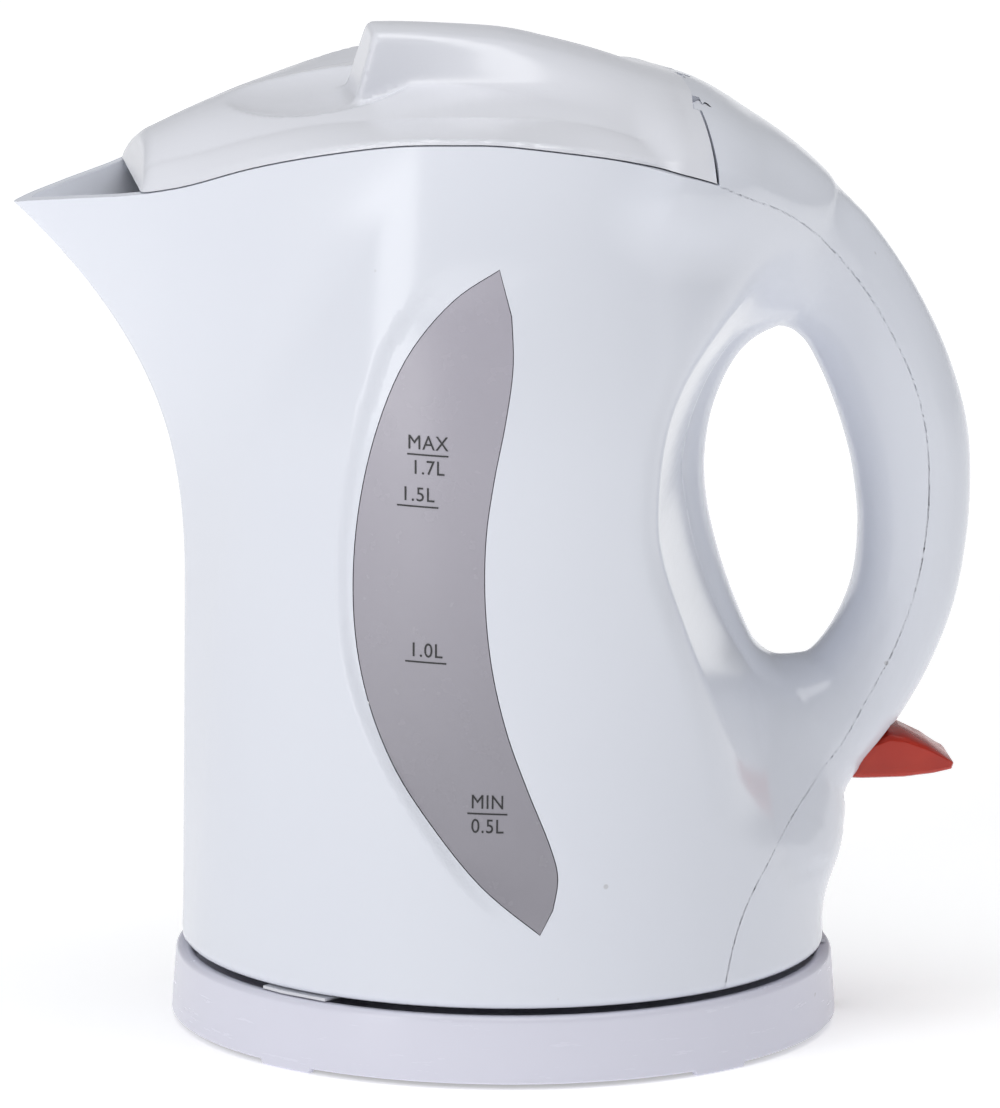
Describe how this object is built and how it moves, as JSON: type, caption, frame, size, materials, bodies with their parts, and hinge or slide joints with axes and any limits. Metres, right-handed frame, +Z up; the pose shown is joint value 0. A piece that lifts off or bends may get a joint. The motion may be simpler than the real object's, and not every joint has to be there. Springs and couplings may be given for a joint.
{
  "type": "electric kettle",
  "caption": "Cordless electric jug kettle with a flared spout, hinged lid, loop handle, side water windows and a tip-down switch, on a round power base.",
  "frame": {"origin": "bottom centre of the overall box, on the table", "axes": "+Z up, +X from the spout to the handle, Y across the kettle"},
  "size_m": [0.2342, 0.162, 0.2463],
  "materials": {
    "gloss_white": "polished",
    "gloss_white_base": "polished",
    "inner_white": "satin",
    "smoked_window": "polished",
    "red_paddle": "polished",
    "black_plastic": "satin",
    "steel": "brushed",
    "aluminium": "satin",
    "brass": "satin",
    "rubber": "matte"
  },
  "bodies": {
    "base": {"base_top": "gloss_white_base", "base_bottom": "black_plastic", "base_foot_1": "rubber", "base_foot_2": "rubber", "base_foot_3": "rubber", "base_foot_4": "rubber", "base_screw_1": "steel", "base_screw_2": "steel", "base_screw_3": "steel", "live_contact": "brass", "neutral_contact": "brass", "earth_contact": "brass", "cord_clamp": "inner_white"},
    "connector": {"jug_connector": "black_plastic", "live_ring": "brass", "neutral_ring": "brass", "earth_pin": "brass"},
    "jug": {"jug_body": "gloss_white", "handle_cover": "gloss_white", "water_window_left": "smoked_window", "water_window_right": "smoked_window", "heater_plate": "steel", "plate_seal": "rubber", "heating_element": "aluminium", "control_unit": "black_plastic", "bimetal_disc": "brass", "bottom_cover": "inner_white", "cover_screw_1": "steel", "cover_screw_2": "steel", "cover_screw_3": "steel", "steam_tube": "inner_white", "steam_switch": "black_plastic", "filter_frame": "inner_white", "filter_screen": "steel", "lid_hinge_pin": "steel", "switch_pin": "steel"},
    "lid": {"lid_top": "gloss_white", "lid_liner": "inner_white"},
    "switch": {"power_switch": "red_paddle"}
  },
  "joints": [
    {"name": "jug_lift", "type": "slide", "parent": "base", "child": "connector", "axis": [0, 0, 1], "range_m": [0, 0.12]},
    {"name": "jug_turn", "type": "hinge", "parent": "connector", "child": "jug", "pos_m": [0.0035, 0, 0.02], "axis": [0, 0, 1], "continuous": true},
    {"name": "lid_hinge", "type": "hinge", "parent": "jug", "child": "lid", "pos_m": [0.0485, 0, 0.226], "axis": [0, 1, 0], "range_deg": [0, 75]},
    {"name": "switch_rocker", "type": "hinge", "parent": "jug", "child": "switch", "pos_m": [0.0815, 0, 0.0625], "axis": [0, 1, 0], "range_deg": [0, 10]}
  ]
}
